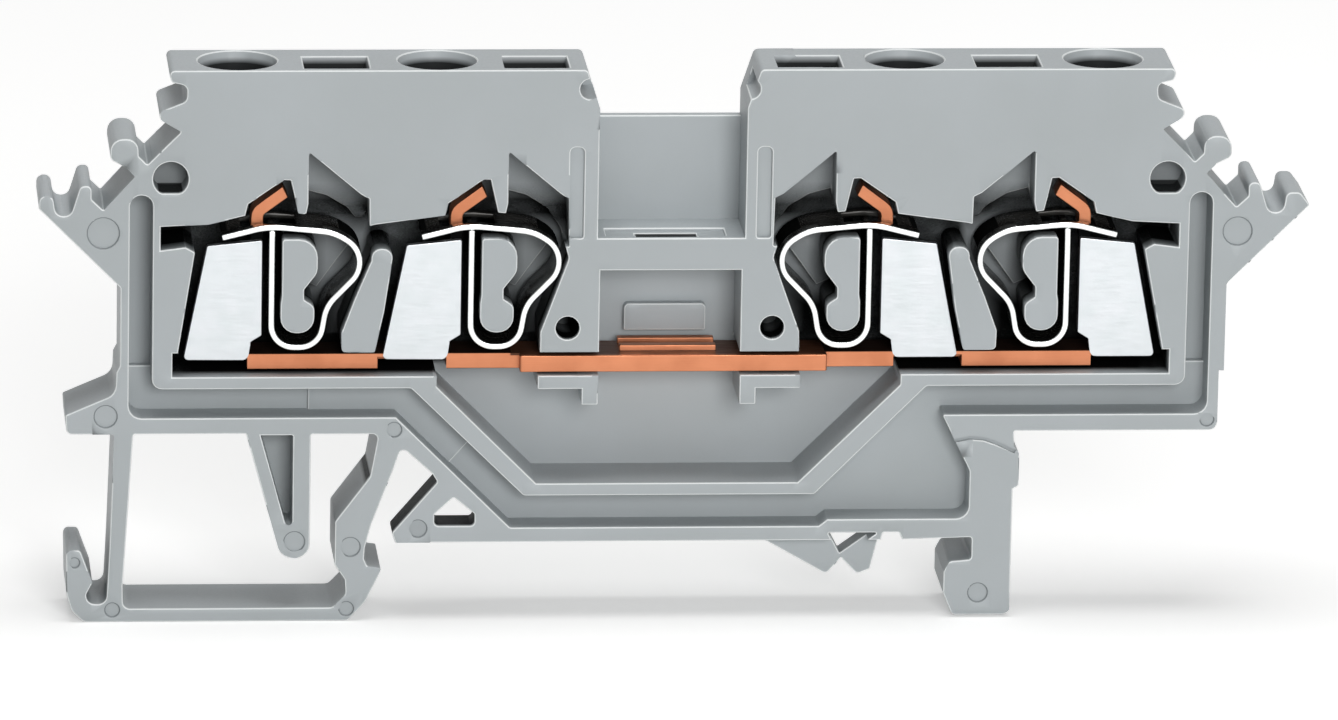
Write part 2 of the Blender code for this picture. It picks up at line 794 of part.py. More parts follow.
def build_bar(parts, cutters, copper):
    units = [(side, distance) for side in (-1, 1) for distance in LEG_DISTANCE]
    corners = [
        (CENTRE_X - BAR_END, depth_y(BAR_FRONT)),
        (CENTRE_X + BAR_END, depth_y(BAR_FRONT)),
        (CENTRE_X + BAR_END, depth_y(BAR_BACK), 0.3),
        (CENTRE_X - BAR_END, depth_y(BAR_BACK), 0.3),
    ]
    outline = rounded(corners)
    wide = rounded(
        [
            (-BAR_MIDDLE, depth_y(BAR_MIDDLE_FRONT), 0.12),
            (BAR_MIDDLE, depth_y(BAR_MIDDLE_FRONT), 0.12),
            (BAR_MIDDLE, depth_y(BAR_FRONT + 0.4)),
            (-BAR_MIDDLE, depth_y(BAR_FRONT + 0.4)),
        ]
    )
    bar = plate("current_bar", [outline], BAR_BOTTOM, BAR_TOP, parts, copper, upright=False)
    units = [(side, distance + BAR_SHIFT[side]) for side, distance in units]
    reliefs = [rounded(unit(*place_, CHEEK_RELIEF)) for place_ in units]
    shoulders = [rounded(unit(*place_, CHEEK_SHOULDER)) for place_ in units]
    before = BAR_FRONT - 0.2
    cut(
        bar,
        plate("cheek_reliefs", reliefs, before, BAR_BACK + 0.4, cutters),
        plate("cheek_shoulders", shoulders, before, RELIEF_DEPTH, cutters),
    )
    hooks = [rounded(unit(*place_, HOOK)) for place_ in units]
    cheeks = [rounded(unit(*place_, CHEEK)) for place_ in units]
    ridges = [
        rectangle(
            CENTRE_X - RIDGE_HALF_LENGTH,
            depth_y(start),
            CENTRE_X + RIDGE_HALF_LENGTH,
            depth_y(start + RIDGE_WIDTH),
        )
        for start in RIDGE_FRONTS
    ]
    ridge_top = BAR_TOP + RIDGE_HEIGHT
    add(
        bar,
        plate("bar_middle", [wide], BAR_MIDDLE_BOTTOM, BAR_TOP, cutters, upright=False),
        plate("hooks", hooks, RISER_FRONT, RISER_BACK, cutters),
        plate("cheeks", cheeks, CHEEK_FRONT, CHEEK_FRONT + CHEEK_THICKNESS, cutters),
        plate("ridges", ridges, BAR_TOP - 0.3, ridge_top, cutters, upright=False),
    )
    flatten(bar)
    return bar


def build_spring(number, side, distance, parts, cutters, steel):
    name = f"clamp_spring_{number}"
    path = rounded([(-side * u, *rest) for u, *rest in SPRING_PATH], closed=False)
    spring = plate(name, [strip(path, SPRING_THICKNESS)], SPRING_FRONT, SPRING_BACK, parts, steel)
    outline = [(-side * u, z) for u, z in WIRE_WINDOW]
    window = plate(f"wire_window_{number}", [outline], WINDOW_FRONT, WINDOW_BACK, cutters)
    spring.location.x = leg_x(side, distance) * MM
    window.location.x = leg_x(side, distance) * MM
    cut(spring, window)
    return spring


def main():
    clear_scene()
    parts = make_collection("terminal_block")
    cutters = make_collection("cutters")
    plastic = make_material("housing_plastic", PLASTIC, 0.5, 0.0)
    copper = make_material("bar_copper", COPPER, 0.35, 1.0)
    steel = make_material("spring_steel", TINNED, 0.3, 1.0)
    build_housing(parts, cutters, plastic)
    build_bar(parts, cutters, copper)
    units = [(-1, LEG_DISTANCE[0]), (-1, LEG_DISTANCE[1])]
    units += [(1, LEG_DISTANCE[1]), (1, LEG_DISTANCE[0])]
    for number, (side, distance) in enumerate(units, 1):
        build_spring(number, side, distance, parts, cutters, steel)


main()
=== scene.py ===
import math

import bmesh
import bpy
import numpy as np
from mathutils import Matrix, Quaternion, Vector
from mathutils.kdtree import KDTree


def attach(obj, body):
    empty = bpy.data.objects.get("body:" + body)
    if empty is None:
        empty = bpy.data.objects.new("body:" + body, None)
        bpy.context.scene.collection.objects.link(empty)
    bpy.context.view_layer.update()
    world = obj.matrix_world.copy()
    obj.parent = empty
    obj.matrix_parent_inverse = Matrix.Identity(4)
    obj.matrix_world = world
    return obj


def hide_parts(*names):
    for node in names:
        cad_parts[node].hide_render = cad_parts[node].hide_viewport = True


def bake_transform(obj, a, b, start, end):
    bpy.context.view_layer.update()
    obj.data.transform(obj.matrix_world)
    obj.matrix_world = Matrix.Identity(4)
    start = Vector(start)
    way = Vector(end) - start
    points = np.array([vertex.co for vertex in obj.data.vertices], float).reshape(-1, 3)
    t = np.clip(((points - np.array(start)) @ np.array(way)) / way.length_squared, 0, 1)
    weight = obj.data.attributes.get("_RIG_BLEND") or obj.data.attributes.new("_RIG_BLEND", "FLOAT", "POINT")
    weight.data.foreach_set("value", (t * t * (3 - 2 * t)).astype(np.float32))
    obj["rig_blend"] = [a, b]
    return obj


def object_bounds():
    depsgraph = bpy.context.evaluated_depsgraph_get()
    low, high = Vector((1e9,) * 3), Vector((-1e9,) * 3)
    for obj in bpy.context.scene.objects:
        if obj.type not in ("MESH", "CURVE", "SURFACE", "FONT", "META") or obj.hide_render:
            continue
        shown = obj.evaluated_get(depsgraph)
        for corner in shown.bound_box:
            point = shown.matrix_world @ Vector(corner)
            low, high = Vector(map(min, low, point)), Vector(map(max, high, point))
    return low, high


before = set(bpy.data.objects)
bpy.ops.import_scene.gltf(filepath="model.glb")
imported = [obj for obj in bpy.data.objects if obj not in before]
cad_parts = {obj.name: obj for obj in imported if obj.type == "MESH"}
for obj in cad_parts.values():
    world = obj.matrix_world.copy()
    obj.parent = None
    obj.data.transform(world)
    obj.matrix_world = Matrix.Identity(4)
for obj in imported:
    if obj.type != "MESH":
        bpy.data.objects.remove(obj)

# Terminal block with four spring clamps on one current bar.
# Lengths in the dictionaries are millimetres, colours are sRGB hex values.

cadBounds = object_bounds()
mm = 0.001
tiny = 0.001 * mm
# The part of a noise pattern's range that the two values or tones are spread over
noiseRange = (0.3, 0.7)
# Reflection of a plastic or an oxide at right angles, as the shader counts it
specular = 0.5


def toLinear(hexColour):
    srgb = np.array([int(hexColour[place:place + 2], 16) for place in (1, 3, 5)]) / 255
    linear = np.where(srgb <= 0.04045, srgb / 12.92, ((srgb + 0.055) / 1.055) ** 2.4)
    return (*linear.tolist(), 1.0)


# A node with its settings and links; sockets go by name or number, the rest are properties
def addNode(tree, kind, settings=None, links=None):
    node = tree.nodes.new(kind)
    for key, value in (settings or {}).items():
        if isinstance(key, int) or key in node.inputs:
            node.inputs[key].default_value = value
        else:
            setattr(node, key, value)
    for key, source in (links or {}).items():
        tree.links.new(source, node.inputs[key])
    return node


def newMaterial(name):
    material = bpy.data.materials.new(name)
    material.use_nodes = True
    tree = material.node_tree
    tree.nodes.clear()
    return material, tree


def finishMaterial(tree, shader):
    addNode(tree, "ShaderNodeOutputMaterial", links={"Surface": shader.outputs[0]})


# Noise of a stated feature size in millimetres, on the piece's own coordinates, which
# spread takes from the part of its range that it uses to the span from low to high
def noiseOfSize(tree, coordinates, size, detail=2.0):
    settings = {"Scale": 1.0 / (size * mm), "Detail": detail}
    return addNode(tree, "ShaderNodeTexNoise", settings, {"Vector": coordinates})


def spread(tree, source, low, high):
    settings = {1: noiseRange[0], 2: noiseRange[1], 3: low, 4: high}
    return addNode(tree, "ShaderNodeMapRange", settings, {0: source}).outputs[0]


# Normals bent by a pattern of stated strength and depth in millimetres
def bumpFrom(tree, height, strength, depth):
    settings = {"Strength": strength, "Distance": depth * mm}
    return addNode(tree, "ShaderNodeBump", settings, {"Height": height}).outputs[0]


def mixColours(tree, factor, first, second, blendType="MIX"):
    settings = {"data_type": "RGBA", "blend_type": blendType}
    node = addNode(tree, "ShaderNodeMix", settings)
    for number, value in ((0, factor), (6, first), (7, second)):
        if isinstance(value, bpy.types.NodeSocket):
            tree.links.new(value, node.inputs[number])
        else:
            node.inputs[number].default_value = value
    return node.outputs[2]


# Painted shade for recesses: its tone, how far the free space around a point is felt,
# between which shares of it the painted shade fades, the block's centre line, and a weight
# outside the boxes
paintedShadeSettings = {
    "dark": "#101111",
    "reach": 4.2,
    "samples": 8,
    "openness": (0.28, 0.8),
    "centre": -0.28,
    "everywhere": 0.1,
}

# Depths just inside the front and the back face, and the width of the fall before the back
front, back, skin = -2.42, 2.42, 0.06

# Where painted shade darkens the colour of recesses, as boxes in x, depth y and height z: low
# corner, width of the rise inside it, high corner, width of the fall inside it, weight. A
# mirrored box counts x as the distance from the block's centre line. In "closed" the weight
# counts only where little of the space around a point is open, in "always" everywhere. The
# "lit" boxes, where the painted shade is lifted, take their weight away from the closed ones.
plasticPaintedShade = {
    "closed": (
        # the clamp chambers
        ("mirrored", (5.2, front, 9.55), (0.3, 1.3, 0.3),
         (29.6, back, 21.6), (0.3, skin, 2.2), 1.0),
        # the windows of the tool shafts above them
        ("mirrored", (5.2, front, 18.0), (0.3, 2.6, 0.5),
         (27.5, back, 25.0), (0.3, skin, 0.5), 0.4),
        # the pin holes
        ("mirrored", (5.0, -2.46, 11.9), (0.1, 0.4, 0.1),
         (6.9, back, 13.8), (0.1, skin, 0.1), 1.0),
        # the key holes
        ("mirrored", (27.6, front, 20.4), (0.1, 0.9, 0.1),
         (30.0, back, 23.0), (0.1, skin, 0.1), 0.45),
        # the mouths in the tower tops
        ("mirrored", (5.7, -2.36, 23.0), (0.3, 0.12, 1.0),
         (27.9, 2.36, 28.12), (0.3, 0.12, 0.06), 0.15),
        # the wedge recess above the foot
        ("plain", (-24.3, -2.4, 0.8), (0.1, 1.5, 0.3),
         (-21.7, back, 6.7), (0.1, skin, 0.1), 0.08),
    ),
    "always": (
        # the round bores
        ("mirrored", (9.9, -2.36, 23.0), (0.1, 0.12, 1.0),
         (17.4, 2.36, 27.85), (0.1, 0.12, 0.35), 0.95),
        ("mirrored", (21.4, -2.36, 23.0), (0.1, 0.12, 1.0),
         (27.9, 2.36, 27.85), (0.1, 0.12, 0.35), 0.95),
        # the tool shafts
        ("mirrored", (5.95, -2.04, 23.0), (0.05, 0.05, 1.0),
         (9.85, 0.94, 28.16), (0.05, 0.05, 0.4), 0.95),
        ("mirrored", (17.45, -2.04, 23.0), (0.05, 0.05, 1.0),
         (21.35, 0.94, 28.16), (0.05, 0.05, 0.4), 0.95),
        # the slot and the small window beside the sprung catch
        ("plain", (-17.9, front, -1.2), (0.2, 0.3, 0.1),
         (-13.2, back, 4.2), (0.1, skin, 0.2), 0.93),
        ("plain", (-14.0, front, 0.8), (0.1, 0.3, 0.1),
         (-11.2, back, 2.0), (0.1, skin, 0.3), 0.95),
        # the bottoms of the key holes
        ("mirrored", (27.7, front, 20.5), (0.1, 0.3, 0.1),
         (30.1, back, 21.15), (0.1, skin, 0.12), 0.95),
        # the groove in the shelf between the towers
        ("mirrored", (-1.0, -2.25, 17.0), (0.1, 0.05, 0.05),
         (2.0, -0.6, 18.0), (0.1, 0.1, 0.06), 0.85),
    ),
    "lit": (
        # the floors inside the spring loops
        ("mirrored", (5.6, -1.0, 13.0), (0.5, 1.0, 2.2),
         (9.6, back, 18.6), (1.4, skin, 1.2), 0.55),
        ("mirrored", (17.1, -1.0, 13.0), (0.5, 1.0, 2.2),
         (21.1, back, 18.6), (1.4, skin, 1.2), 0.55),
        # the floors below the loops
        ("mirrored", (5.6, -1.0, 11.4), (0.4, 1.0, 0.3),
         (8.2, back, 15.4), (1.2, skin, 1.4), 0.22),
        ("mirrored", (17.1, -1.0, 11.4), (0.4, 1.0, 0.3),
         (19.7, back, 15.4), (1.2, skin, 1.4), 0.22),
    ),
}

# Painted shade on the copper, the tin and the spring steel, in boxes as above
metalPaintedShade = {
    "closed": (
        # the metal deep in the chambers
        ("mirrored", (5.2, -1.3, 9.7), (0.3, 2.6, 0.5),
         (29.6, back, 21.6), (0.3, skin, 1.0), 1.0),
    ),
    "always": (
        # the top of the bar in the middle and in the chambers
        ("mirrored", (-1.0, -2.05, 10.98), (0.1, 0.15, 0.02),
         (9.2, back, 11.16), (0.1, skin, 0.03), 0.8),
        ("mirrored", (9.0, -1.55, 10.98), (0.1, 0.1, 0.02),
         (28.5, back, 11.16), (0.1, skin, 0.03), 0.97),
        # the risers under the spring arms
        ("mirrored", (5.2, -1.28, 17.2), (0.1, 0.04, 0.05),
         (29.6, back, 18.5), (0.1, skin, 0.05), 1.0),
    ),
}


def mathNode(tree, operation, first, second=None, clamp=False):
    settings = {"operation": operation, "use_clamp": clamp}
    links = {}
    for number, value in enumerate((first, second)):
        if isinstance(value, bpy.types.NodeSocket):
            links[number] = value
        elif value is not None:
            settings[number] = float(value)
    return addNode(tree, "ShaderNodeMath", settings, links).outputs[0]


# The weight of one box at a point: the least of its rises and falls along the three axes
def zoneWeight(tree, place, zone):
    low, rise, high, fall, weight = zone
    ends = []
    for corner, width, sign in ((low, rise, 1.0), (high, fall, -1.0)):
        width = sign * np.array(width)
        slope = (1 / (width * mm)).tolist()
        start = (-np.array(corner) / width).tolist()
        settings = {"operation": "MULTIPLY_ADD", 1: slope, 2: start}
        ends.append(addNode(tree, "ShaderNodeVectorMath", settings, {0: place}).outputs[0])
    settings = {"operation": "MINIMUM"}
    both = addNode(tree, "ShaderNodeVectorMath", settings, dict(enumerate(ends))).outputs[0]
    axes = addNode(tree, "ShaderNodeSeparateXYZ", links={0: both}).outputs
    least = mathNode(tree, "MINIMUM", axes[0], axes[1])
    least = mathNode(tree, "MINIMUM", least, axes[2], clamp=True)
    return mathNode(tree, "MULTIPLY", least, weight)


# The colour darkened by painted shade in its recesses, and how free of that painted shade each point is
def paintShadeInRecesses(tree, coordinates, colour, shade, values):
    axes = addNode(tree, "ShaderNodeSeparateXYZ", links={0: coordinates}).outputs
    aside = mathNode(tree, "SUBTRACT", axes[0], values["centre"] * mm)
    links = {0: mathNode(tree, "ABSOLUTE", aside), 1: axes[1], 2: axes[2]}
    mirrored = addNode(tree, "ShaderNodeCombineXYZ", links=links).outputs[0]
    places = {"mirrored": mirrored, "plain": coordinates}
    most = {}
    for kind, zones in shade.items():
        for place, *zone in zones:
            weight = zoneWeight(tree, places[place], zone)
            if kind in most:
                weight = mathNode(tree, "MAXIMUM", most[kind], weight)
            most[kind] = weight
    settings = {"samples": values["samples"], "Distance": values["reach"] * mm}
    openness = addNode(tree, "ShaderNodeAmbientOcclusion", settings).outputs["AO"]
    low, high = values["openness"]
    settings = {"interpolation_type": "SMOOTHSTEP", 1: low, 2: high, 3: 1.0, 4: 0.0}
    closed = addNode(tree, "ShaderNodeMapRange", settings, {0: openness}).outputs[0]
    enclosed = mathNode(tree, "MAXIMUM", most["closed"], values["everywhere"])
    if "lit" in most:
        unlit = mathNode(tree, "SUBTRACT", 1.0, most["lit"])
        enclosed = mathNode(tree, "MULTIPLY", enclosed, unlit)
    closed = mathNode(tree, "MULTIPLY", closed, enclosed)
    paintedShadeWeight = mathNode(tree, "MAXIMUM", closed, most["always"])
    freeOfPaintedShade = mathNode(tree, "SUBTRACT", 1.0, paintedShadeWeight)
    return mixColours(tree, paintedShadeWeight, colour, toLinear(values["dark"])), freeOfPaintedShade


# Injection-moulded polyamide, spark-eroded tool: even cool grey with a fine matt grain and
# faint flow shading. The rounded edges are painted pale as a painted highlight, and recesses
# get painted shade. The real grain is too fine to show and is drawn coarser.
polyamide = {
    "face": "#aeb4b7",
    "flow": "#a8aeb0",
    # painted highlight on the rounded edges; the pin witness rims take the dark ring colour
    "edge": "#e4e8e8",
    "ring": "#7f8587",
    "ior": 1.53,
    "roughness": (0.42, 0.56),
    "grainSize": 0.16,
    "flowSize": 9.0,
    "bump": (0.25, 0.012),
}


def mouldedPolyamide(values):
    material, tree = newMaterial("mouldedPolyamide")
    coordinates = addNode(tree, "ShaderNodeTexCoord").outputs["Object"]
    grain = noiseOfSize(tree, coordinates, values["grainSize"]).outputs[0]
    flow = noiseOfSize(tree, coordinates, values["flowSize"], 3.0).outputs[0]
    tones = (toLinear(values["face"]), toLinear(values["flow"]))
    body = mixColours(tree, spread(tree, flow, 0.0, 1.0), *tones)
    # painted highlight: rounded edges are mixed to the pale edge colour, pin witness rims to the ring colour
    for name in ("edge", "ring"):
        mark = addNode(tree, "ShaderNodeAttribute", {"attribute_name": name}).outputs["Fac"]
        body = mixColours(tree, mark, body, toLinear(values[name]))
    colour, freeOfPaintedShade = paintShadeInRecesses(tree, coordinates, body, plasticPaintedShade, paintedShadeSettings)
    shader = addNode(
        tree,
        "ShaderNodeBsdfPrincipled",
        {"IOR": values["ior"]},
        {
            "Base Color": colour,
            # painted shade also takes the plastic's reflection away
            "Specular IOR Level": mathNode(tree, "MULTIPLY", freeOfPaintedShade, specular),
            "Roughness": spread(tree, grain, *values["roughness"]),
            "Normal": bumpFrom(tree, grain, *values["bump"]),
        },
    )
    finishMaterial(tree, shader)
    return material


# Copper strip, rolled and blanked: bare orange metal, matt from the punch, slightly
# browner in patches where it has begun to tarnish
copper = {
    "bright": "#bd7c5b",
    "tarnish": "#ae6f50",
    "roughness": (0.32, 0.5),
    "patchSize": 2.2,
    "scratchSize": (1.6, 0.06),
    "bump": (0.2, 0.006),
}

# Hot-tinned copper: nearly white, soft reflections, faint cloudy bloom
tin = {
    "bright": "#c3c6c9",
    "bloom": "#bcc1c3",
    "roughness": (0.28, 0.42),
    "patchSize": 1.4,
    "scratchSize": (1.2, 0.09),
    "bump": (0.2, 0.006),
}

# Cold-rolled spring strip: the sheared edge at the front is bright silver, and the broad faces
# behind it are painted a dark tone as painted shade
spring = {
    "bright": "#eceeed",
    "bloom": "#d9dbda",
    # painted shade: the dark tone of the broad faces behind the front edge, between the depths below
    "skin": "#55534f",
    "skinFrom": (-2.13, -1.95),
    "roughness": (0.16, 0.3),
    "patchSize": 1.0,
    "scratchSize": (2.4, 0.05),
    "bump": (0.2, 0.006),
}


# Rolled metal: two tones in soft patches, and a grain stretched along X by the rolls,
# drawn coarser than the real one so that it shows. Painted shade darkens it in recesses,
# and on the springs behind the front edge.
def rolledMetal(name, bright, dull, values):
    material, tree = newMaterial(name)
    coordinates = addNode(tree, "ShaderNodeTexCoord").outputs["Object"]
    along, across = values["scratchSize"]
    settings = {"Scale": (across / along, 1.0, 1.0)}
    stretched = addNode(tree, "ShaderNodeMapping", settings, {"Vector": coordinates})
    lines = noiseOfSize(tree, stretched.outputs[0], across, 3.0).outputs[0]
    patches = noiseOfSize(tree, coordinates, values["patchSize"], 3.0).outputs[0]
    patches = spread(tree, patches, 0.0, 1.0)
    colour = mixColours(tree, patches, toLinear(bright), toLinear(dull))
    # painted shade: the strip turns dark between the two given depths behind its front edge
    if "skin" in values:
        depth = addNode(tree, "ShaderNodeSeparateXYZ", links={0: coordinates}).outputs["Y"]
        settings = {1: values["skinFrom"][0] * mm, 2: values["skinFrom"][1] * mm}
        paintedShadeShare = addNode(tree, "ShaderNodeMapRange", settings, {0: depth}).outputs[0]
        colour = mixColours(tree, paintedShadeShare, colour, toLinear(values["skin"]))
    colour, freeOfPaintedShade = paintShadeInRecesses(tree, coordinates, colour, metalPaintedShade, paintedShadeSettings)
    shader = addNode(
        tree,
        "ShaderNodeBsdfPrincipled",
        links={
            "Base Color": colour,
            # painted shade also takes the metal's shine and reflection away
            "Metallic": freeOfPaintedShade,
            "Specular IOR Level": mathNode(tree, "MULTIPLY", freeOfPaintedShade, specular),
            "Roughness": spread(tree, lines, *values["roughness"]),
            "Normal": bumpFrom(tree, lines, *values["bump"]),
        },
    )
    finishMaterial(tree, shader)
    return material


# How edges are rounded: faces within the flat angle are joined, a face is wide enough for
# an edge with room times the width beside it, and smooth is the widest smoothed angle
rounding = {
    "sliceStart": 0.37,
    "flat": 1.0,
    "room": 1.6,
    "attempts": 6,
    "smooth": 50.0,
}


# Cuts wide faces along evenly spaced planes, so that none has hundreds of corners, and
# marks the cuts as seams, so that the flat faces between them can be joined
def sliceFaces(shape, spacing):
    if not spacing:
        return
    places = np.array([corner.co for corner in shape.verts])
    low, high = places.min(0), places.max(0)
    for axis in (0, 2):
        first = low[axis] + rounding["sliceStart"] * spacing * mm
        for place in np.arange(first, high[axis], spacing * mm):
            normal = Vector((0.0, 0.0, 0.0))
            normal[axis] = 1.0
            parts = bmesh.ops.bisect_plane(
                shape,
                geom=list(shape.verts) + list(shape.edges) + list(shape.faces),
                plane_co=normal * place,
                plane_no=normal,
                dist=tiny,
            )["geom_cut"]
            for part in parts:
                if isinstance(part, bmesh.types.BMEdge):
                    part.seam = True


# Corners where the outline of a many-sided face crosses itself: two of its sides cross
# when each has the ends of the other on different sides of it
def foldedCorners(shape):
    folded = []
    for face in shape.faces:
        if len(face.verts) < 5:
            continue
        corners = np.array([corner.co for corner in face.verts])
        flat = np.delete(corners, np.argmax(np.abs(face.normal)), 1)
        side = np.roll(flat, -1, 0) - flat
        toStart = flat[None, :] - flat[:, None]
        toEnd = toStart + side[None, :]
        start = side[:, None, 0] * toStart[..., 1] - side[:, None, 1] * toStart[..., 0]
        end = side[:, None, 0] * toEnd[..., 1] - side[:, None, 1] * toEnd[..., 0]
        apart = start * end < 0
        crossed = np.nonzero((apart & apart.T).any(0))[0]
        folded += [face.verts[place].co.copy() for place in crossed]
    return folded


# Rounds the outer edges of a solid and marks the new faces in the attribute "edge".
# Points closer than the merge length become one, so that no tiny arc is in the way, and
# an edge stays sharp where the face beside it is too narrow or would fold.
def roundEdges(shape, values, keepSharp=None):
    bmesh.ops.remove_doubles(shape, verts=shape.verts, dist=values["merge"] * mm)
    sliceFaces(shape, values.get("slice"))
    bmesh.ops.dissolve_limit(
        shape,
        angle_limit=math.radians(rounding["flat"]),
        verts=shape.verts,
        edges=shape.edges,
        delimit={"SEAM"},
    )
    for edge in shape.edges:
        edge.seam = False
    least = math.radians(values["leastAngle"])
    room = rounding["room"] * values["width"] * mm
    old = shape.faces.layers.float.new("edge")
    for face in shape.faces:
        face[old] = 0.0
        face.material_index = 0
    outer = [
        edge.index
        for edge in shape.edges
        if len(edge.link_faces) == 2
        and edge.is_convex
        and edge.calc_face_angle() > least
        and min(face.calc_area() for face in edge.link_faces) > room * edge.calc_length()
        and not (keepSharp and keepSharp(edge))
    ]
    for attempt in range(rounding["attempts"]):
        trial = shape.copy()
        trial.edges.ensure_lookup_table()
        rounded = bmesh.ops.bevel(
            trial,
            geom=[trial.edges[index] for index in outer],
            offset=values["width"] * mm,
            offset_type="OFFSET",
            segments=values["segments"],
            profile=0.5,
            affect="EDGES",
            clamp_overlap=False,
        )
        folded = foldedCorners(trial)
        if not folded:
            break
        clear = values["clear"] * mm
        near = KDTree(len(folded))
        for number, spot in enumerate(folded):
            near.insert(spot, number)
        near.balance()
        shape.edges.ensure_lookup_table()
        outer = [
            index
            for index in outer
            if min(near.find(end.co)[2] for end in shape.edges[index].verts) > clear
        ]
        trial.free()
    mark = trial.faces.layers.float["edge"]
    for face in rounded["faces"]:
        face[mark] = 1.0
    shape.free()
    return trial


# The finished mesh as a piece: smooth where the angle is small, flat faces kept flat
def makePiece(name, shape, materials, body=None):
    smooth = math.radians(rounding["smooth"])
    for edge in shape.edges:
        edge.smooth = edge.calc_face_angle(math.pi) < smooth
    for face in shape.faces:
        face.smooth = True
    mesh = bpy.data.meshes.new(name)
    shape.to_mesh(mesh)
    shape.free()
    for material in materials:
        mesh.materials.append(material)
    piece = bpy.data.objects.new(name, mesh)
    bpy.context.scene.collection.objects.link(piece)
    weighted = piece.modifiers.new("flatFaces", "WEIGHTED_NORMAL")
    weighted.keep_sharp = True
    if body is not None:
        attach(piece, body)
    return piece


def copyOfNode(node):
    shape = bmesh.new()
    shape.from_mesh(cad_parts[node].data)
    bmesh.ops.remove_doubles(shape, verts=shape.verts, dist=tiny)
    return shape


housing = {
    "width": 0.07,
    "segments": 2,
    "merge": 0.03,
    "clear": 0.15,
    "leastAngle": 30.0,
    "slice": 1.31,
    # depth of the marks' floors, width of their rims, then x, z and radius of each round
    # witness that an ejector pin leaves in the front
    "markFloor": -2.37,
    "markRim": 0.11,
    "marks": (
        (-33.0, 18.6, 0.9),
        (32.55, 18.5, 0.82),
        (-32.8, 7.67, 0.64),
        (-21.85, 0.1, 0.58),
        (-16.15, 6.8, 0.42),
        (-14.7, 0.85, 0.5),
        (-18.6, -0.23, 0.55),
        (-18.8, -3.95, 0.4),
        (-32.35, -3.95, 0.4),
        (-34.55, -1.1, 0.28),
        (17.97, -3.2, 0.55),
        (31.1, 7.2, 0.38),
    ),
}


# The rounded rims of the pin witnesses are coloured dark, without the pale painted highlight of the other
# rounded edges
def markRings(shape, values):
    edge = shape.faces.layers.float["edge"]
    ring = shape.faces.layers.float.new("ring")
    places = np.array([face.calc_center_median() / mm for face in shape.faces])
    shallow = places[:, 1] < values["markFloor"]
    near = np.zeros(len(places), bool)
    for x, z, radius in values["marks"]:
        away = np.hypot(places[:, 0] - x, places[:, 2] - z)
        near |= np.abs(away - radius) < values["markRim"]
    for face, dull in zip(shape.faces, (near & shallow).tolist()):
        face[ring] = float(dull and face[edge] > 0.5)
        face[edge] = face[edge] - face[ring]


def makeHousing(values, material):
    shape = roundEdges(copyOfNode("housing"), values)
    markRings(shape, values)
    piece = makePiece("mouldedHousing", shape, [material], "block")
    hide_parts("housing")
    print("housing", len(piece.data.polygons), "faces")


bar = {
    "width": 0.05,
    "segments": 2,
    "merge": 0.02,
    "clear": 0.2,
    "leastAngle": 30.0,
    "cheekFront": -1.65,
    "cheekBack": -1.05,
    "hookFront": -1.2,
    "barTop": 11.12,
    "aboveBar": 0.2,
    "flush": 0.03,
    "edge": 0.05,
    "backEdge": 0.06,
}


# The cheeks are the faces that lie between the two planes of the cheek sheet
def makeBar(values, bareMaterial, tinnedMaterial):
    shape = roundEdges(copyOfNode("current_bar"), values)
    for face in shape.faces:
        heights = [corner.co.z / mm for corner in face.verts]
        depths = [corner.co.y / mm for corner in face.verts]
        sheet = abs(min(depths) - values["cheekFront"]) < values["flush"]
        above = max(heights) > values["barTop"] + values["aboveBar"]
        wall = above and min(depths) < values["hookFront"] - values["edge"]
        rear = min(depths) > values["cheekBack"] - values["backEdge"]
        within = max(depths) < values["cheekBack"] + values["edge"]
        face.material_index = int((sheet or wall or rear) and within)
    piece = makePiece("currentBar", shape, [bareMaterial, tinnedMaterial], "block")
    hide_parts("current_bar")
    print("current bar", len(piece.data.polygons), "faces")


clamps = {
    "centre": -0.28,
    "legs": ((-1, 23.0), (-1, 11.5), (1, 11.5), (1, 23.0)),
    "thickness": 0.34,
    "front": -2.15,
    "back": 1.3,
    "windowFront": -1.5,
    "windowBack": 0.7,
    "windowEnds": (-1.75, 1.4),
    "seam": 1.4,
    "seamWidth": 0.02,
    "belowSeam": 12.2,
    "still": 12.8,
    "moving": 17.5,
    "path": (
        (-2.88, 18.2, 0.0),
        (-0.25, 18.86, 5.0),
        (3.55, 18.5, 2.9),
        (5.95, 17.0, 1.55),
        (3.15, 14.1, 2.2),
        (2.75, 11.66, 1.3),
        (0.0, 11.66, 1.3),
        (0.0, 18.6, 0.0),
    ),
    "edges": {"width": 0.07, "segments": 2, "merge": 0.004, "clear": 0.1, "leastAngle": 40.0},
}


